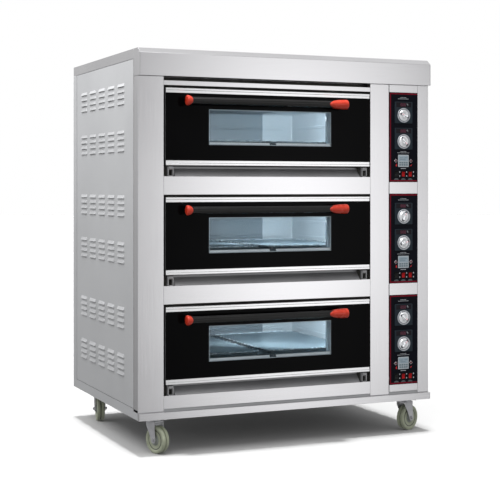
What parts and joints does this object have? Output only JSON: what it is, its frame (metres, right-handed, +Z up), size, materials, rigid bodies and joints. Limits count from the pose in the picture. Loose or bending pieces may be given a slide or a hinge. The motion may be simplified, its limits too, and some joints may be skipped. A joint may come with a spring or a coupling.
{
  "type": "deck oven",
  "caption": "Electric deck oven on swivel castors, with stacked baking chambers behind drop-down glass doors and a control column beside them.",
  "frame": {"origin": "on the floor, under the middle of the oven's box (handles and cable gland included)", "axes": "+Z up, -Y towards the person at the doors, +X to that person's right"},
  "size_m": [1.318, 1.0129, 1.6],
  "materials": {
    "stainless": "brushed stainless sheet",
    "side_sheet": "satin grey sheet",
    "dark_sheet": "dark satin sheet",
    "aluminised_steel": "aluminised steel sheet",
    "pan_steel": "pressed aluminised steel",
    "door_steel": "bright folded stainless",
    "black_glass": "black enamelled glass with a clear window",
    "handle_black": "satin black bar with glossy orange-red end caps",
    "dial_white": "white dial with a red pointer",
    "switch_black": "black moulded plastic",
    "switch_red": "translucent red rocker",
    "element_sheath": "heat-darkened steel tube",
    "mineral_wool": "mineral-wool slab",
    "panel_black": "printed black panel with a dark red border",
    "thermostat_front": "dark grey moulded front",
    "timer_screen": "pale blue-grey display",
    "lamp_red": "dark red lens in a bright bezel",
    "chassis_plate": "zinc-plated mounting plate",
    "castor_steel": "zinc-plated pressed steel",
    "wheel_rubber": "pale grey-green tread on a plastic hub"
  },
  "bodies": {
    "root": {"base_frame": "side_sheet", "back_panel": "side_sheet", "left_side_panel": "side_sheet", "right_side_panel": "side_sheet", "front_plinth": "stainless", "top_cover": "stainless", "visor": "stainless", "front_posts": "stainless", "front_rails": "stainless", "door_sills": "dark_sheet", "lower_chamber": "aluminised_steel", "lower_pans": "pan_steel", "middle_chamber": "aluminised_steel", "middle_pans": "pan_steel", "upper_chamber": "aluminised_steel", "upper_pans": "pan_steel", "heating_elements": "element_sheath", "insulation": "mineral_wool", "control_panels": "panel_black", "thermostats": "thermostat_front", "timers": "timer_screen", "indicator_lamps": "lamp_red", "switch_housings": "switch_black", "electrical_chassis": "chassis_plate", "hinge_brackets": "door_steel", "castor_plates": "castor_steel", "cable_gland": "switch_black", "fasteners": "castor_steel"},
    "lower_door": {"lower_door_casing": "door_steel", "lower_door_glass": "black_glass", "lower_door_handle": "handle_black"},
    "lower_bottom_heat_knob": {"lower_bottom_heat_knob": "dial_white"},
    "lower_top_heat_knob": {"lower_top_heat_knob": "dial_white"},
    "lower_lamp_switch": {"lower_lamp_switch": "switch_black"},
    "lower_power_switch": {"lower_power_switch": "switch_red"},
    "lower_timer_switch": {"lower_timer_switch": "switch_red"},
    "middle_door": {"middle_door_casing": "door_steel", "middle_door_glass": "black_glass", "middle_door_handle": "handle_black"},
    "middle_bottom_heat_knob": {"middle_bottom_heat_knob": "dial_white"},
    "middle_top_heat_knob": {"middle_top_heat_knob": "dial_white"},
    "middle_lamp_switch": {"middle_lamp_switch": "switch_black"},
    "middle_power_switch": {"middle_power_switch": "switch_red"},
    "middle_timer_switch": {"middle_timer_switch": "switch_red"},
    "upper_door": {"upper_door_casing": "door_steel", "upper_door_glass": "black_glass", "upper_door_handle": "handle_black"},
    "upper_bottom_heat_knob": {"upper_bottom_heat_knob": "dial_white"},
    "upper_top_heat_knob": {"upper_top_heat_knob": "dial_white"},
    "upper_lamp_switch": {"upper_lamp_switch": "switch_black"},
    "upper_power_switch": {"upper_power_switch": "switch_red"},
    "upper_timer_switch": {"upper_timer_switch": "switch_red"},
    "front_left_castor": {"front_left_fork": "castor_steel"},
    "front_left_wheel": {"front_left_wheel": "wheel_rubber"},
    "front_right_castor": {"front_right_fork": "castor_steel"},
    "front_right_wheel": {"front_right_wheel": "wheel_rubber"},
    "rear_left_castor": {"rear_left_fork": "castor_steel"},
    "rear_left_wheel": {"rear_left_wheel": "wheel_rubber"},
    "rear_right_castor": {"rear_right_fork": "castor_steel"},
    "rear_right_wheel": {"rear_right_wheel": "wheel_rubber"}
  },
  "joints": [
    {"name": "lower_door_hinge", "type": "hinge", "parent": "root", "child": "lower_door", "pos_m": [-0.089, -0.4355, 0.263], "axis": [1, 0, 0], "range_deg": [0, 90]},
    {"name": "lower_bottom_heat_knob_turn", "type": "hinge", "parent": "root", "child": "lower_bottom_heat_knob", "pos_m": [0.535, -0.4415, 0.382], "axis": [0, 1, 0], "range_deg": [-195, 105]},
    {"name": "lower_top_heat_knob_turn", "type": "hinge", "parent": "root", "child": "lower_top_heat_knob", "pos_m": [0.535, -0.4415, 0.494], "axis": [0, 1, 0], "range_deg": [-278, 22]},
    {"name": "lower_lamp_switch_tilt", "type": "hinge", "parent": "root", "child": "lower_lamp_switch", "pos_m": [0.501, -0.4365, 0.243], "axis": [1, 0, 0], "range_deg": [-16, 0]},
    {"name": "lower_power_switch_tilt", "type": "hinge", "parent": "root", "child": "lower_power_switch", "pos_m": [0.535, -0.4365, 0.243], "axis": [1, 0, 0], "range_deg": [-16, 0]},
    {"name": "lower_timer_switch_tilt", "type": "hinge", "parent": "root", "child": "lower_timer_switch", "pos_m": [0.569, -0.4365, 0.243], "axis": [1, 0, 0], "range_deg": [-16, 0]},
    {"name": "middle_door_hinge", "type": "hinge", "parent": "root", "child": "middle_door", "pos_m": [-0.089, -0.4355, 0.696], "axis": [1, 0, 0], "range_deg": [0, 90]},
    {"name": "middle_bottom_heat_knob_turn", "type": "hinge", "parent": "root", "child": "middle_bottom_heat_knob", "pos_m": [0.535, -0.4415, 0.815], "axis": [0, 1, 0], "range_deg": [-225, 75]},
    {"name": "middle_top_heat_knob_turn", "type": "hinge", "parent": "root", "child": "middle_top_heat_knob", "pos_m": [0.535, -0.4415, 0.927], "axis": [0, 1, 0], "range_deg": [-175, 125]},
    {"name": "middle_lamp_switch_tilt", "type": "hinge", "parent": "root", "child": "middle_lamp_switch", "pos_m": [0.501, -0.4365, 0.676], "axis": [1, 0, 0], "range_deg": [-16, 0]},
    {"name": "middle_power_switch_tilt", "type": "hinge", "parent": "root", "child": "middle_power_switch", "pos_m": [0.535, -0.4365, 0.676], "axis": [1, 0, 0], "range_deg": [-16, 0]},
    {"name": "middle_timer_switch_tilt", "type": "hinge", "parent": "root", "child": "middle_timer_switch", "pos_m": [0.569, -0.4365, 0.676], "axis": [1, 0, 0], "range_deg": [-16, 0]},
    {"name": "upper_door_hinge", "type": "hinge", "parent": "root", "child": "upper_door", "pos_m": [-0.089, -0.4355, 1.129], "axis": [1, 0, 0], "range_deg": [0, 90]},
    {"name": "upper_bottom_heat_knob_turn", "type": "hinge", "parent": "root", "child": "upper_bottom_heat_knob", "pos_m": [0.535, -0.4415, 1.248], "axis": [0, 1, 0], "range_deg": [-288, 12]},
    {"name": "upper_top_heat_knob_turn", "type": "hinge", "parent": "root", "child": "upper_top_heat_knob", "pos_m": [0.535, -0.4415, 1.36], "axis": [0, 1, 0], "range_deg": [-81, 219]},
    {"name": "upper_lamp_switch_tilt", "type": "hinge", "parent": "root", "child": "upper_lamp_switch", "pos_m": [0.501, -0.4365, 1.109], "axis": [1, 0, 0], "range_deg": [-16, 0]},
    {"name": "upper_power_switch_tilt", "type": "hinge", "parent": "root", "child": "upper_power_switch", "pos_m": [0.535, -0.4365, 1.109], "axis": [1, 0, 0], "range_deg": [-16, 0]},
    {"name": "upper_timer_switch_tilt", "type": "hinge", "parent": "root", "child": "upper_timer_switch", "pos_m": [0.569, -0.4365, 1.109], "axis": [1, 0, 0], "range_deg": [-16, 0]},
    {"name": "front_left_swivel", "type": "hinge", "parent": "root", "child": "front_left_castor", "pos_m": [-0.572, -0.3895, 0.12], "axis": [0, 0, 1], "continuous": true},
    {"name": "front_left_wheel_spin", "type": "hinge", "parent": "front_left_castor", "child": "front_left_wheel", "pos_m": [-0.5654, -0.40625, 0.054], "axis": [0.9304, 0.3665, 0], "continuous": true},
    {"name": "front_right_swivel", "type": "hinge", "parent": "root", "child": "front_right_castor", "pos_m": [0.572, -0.3895, 0.12], "axis": [0, 0, 1], "continuous": true},
    {"name": "front_right_wheel_spin", "type": "hinge", "parent": "front_right_castor", "child": "front_right_wheel", "pos_m": [0.58875, -0.3829, 0.054], "axis": [-0.3665, 0.9304, 0], "continuous": true},
    {"name": "rear_left_swivel", "type": "hinge", "parent": "root", "child": "rear_left_castor", "pos_m": [-0.572, 0.3685, 0.12], "axis": [0, 0, 1], "continuous": true},
    {"name": "rear_left_wheel_spin", "type": "hinge", "parent": "rear_left_castor", "child": "rear_left_wheel", "pos_m": [-0.57528, 0.3508, 0.054], "axis": [0.9833, -0.1822, 0], "continuous": true},
    {"name": "rear_right_swivel", "type": "hinge", "parent": "root", "child": "rear_right_castor", "pos_m": [0.572, 0.3685, 0.12], "axis": [0, 0, 1], "continuous": true},
    {"name": "rear_right_wheel_spin", "type": "hinge", "parent": "rear_right_castor", "child": "rear_right_wheel", "pos_m": [0.55509, 0.36234, 0.054], "axis": [0.342, -0.9397, 0], "continuous": true}
  ]
}
